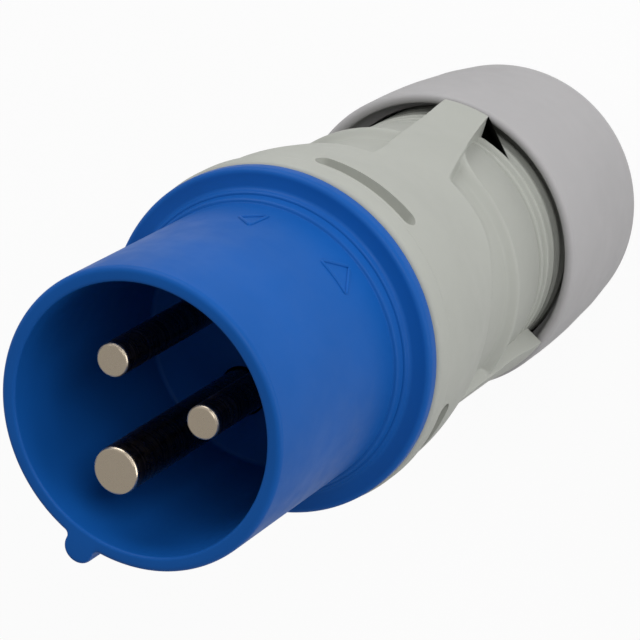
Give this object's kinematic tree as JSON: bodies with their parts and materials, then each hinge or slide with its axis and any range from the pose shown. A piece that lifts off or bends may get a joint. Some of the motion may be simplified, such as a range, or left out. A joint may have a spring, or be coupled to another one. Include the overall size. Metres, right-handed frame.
{
  "type": "industrial plug",
  "caption": "Industrial pin-and-sleeve mains plug: round contacts in a keyed shroud, a moulded grip with swept arms and a screwed cable gland.",
  "frame": {"origin": "centre of the gland cap's rear face, on the plug's axis", "axes": "+Z along the plug's axis towards the pins; the keyway nub and the earth pin face -Y"},
  "size_m": [0.0538, 0.0538, 0.138],
  "materials": {
    "insert_blue": "satin moulded polyamide, blue",
    "carrier_dark": "matt moulded insulator",
    "contact_nickel": "turned brass, nickel plated",
    "screw_steel": "zinc plated steel",
    "grip_grey": "fine-textured moulded plastic, light grey",
    "cap_grey": "fine-textured moulded plastic, light grey",
    "basket_white": "moulded polyamide, natural",
    "seal_rubber": "soft seal rubber"
  },
  "bodies": {
    "grip": {"grip_housing": "grip_grey", "face_gasket": "seal_rubber"},
    "insert": {"shroud_insert": "insert_blue", "contact_carrier": "carrier_dark", "earth_pin": "contact_nickel", "line_pin": "contact_nickel", "neutral_pin": "contact_nickel", "earth_terminal_screw": "screw_steel", "line_terminal_screw": "screw_steel", "neutral_terminal_screw": "screw_steel", "carrier_screw_line_side": "screw_steel", "carrier_screw_neutral_side": "screw_steel"},
    "clamp": {"clamp_basket": "basket_white", "cable_seal": "seal_rubber"},
    "cap": {"gland_cap": "cap_grey"}
  },
  "joints": [
    {"name": "bayonet_turn", "type": "hinge", "parent": "grip", "child": "insert", "pos_m": [0, 0, 0.09], "axis": [0, 0, -1], "range_deg": [0, 30]},
    {"name": "gland_travel", "type": "slide", "parent": "grip", "child": "clamp", "axis": [0, 0, -1], "range_m": [0, 0.01001]},
    {"name": "cap_turn", "type": "hinge", "parent": "clamp", "child": "cap", "pos_m": [0, 0, 0.02], "axis": [0, 0, -1], "range_deg": [0, 1440]}
  ],
  "couplings": [
    {"joint": "gland_travel", "follows": "cap_turn", "m_per_rad": 0.00039789}
  ]
}
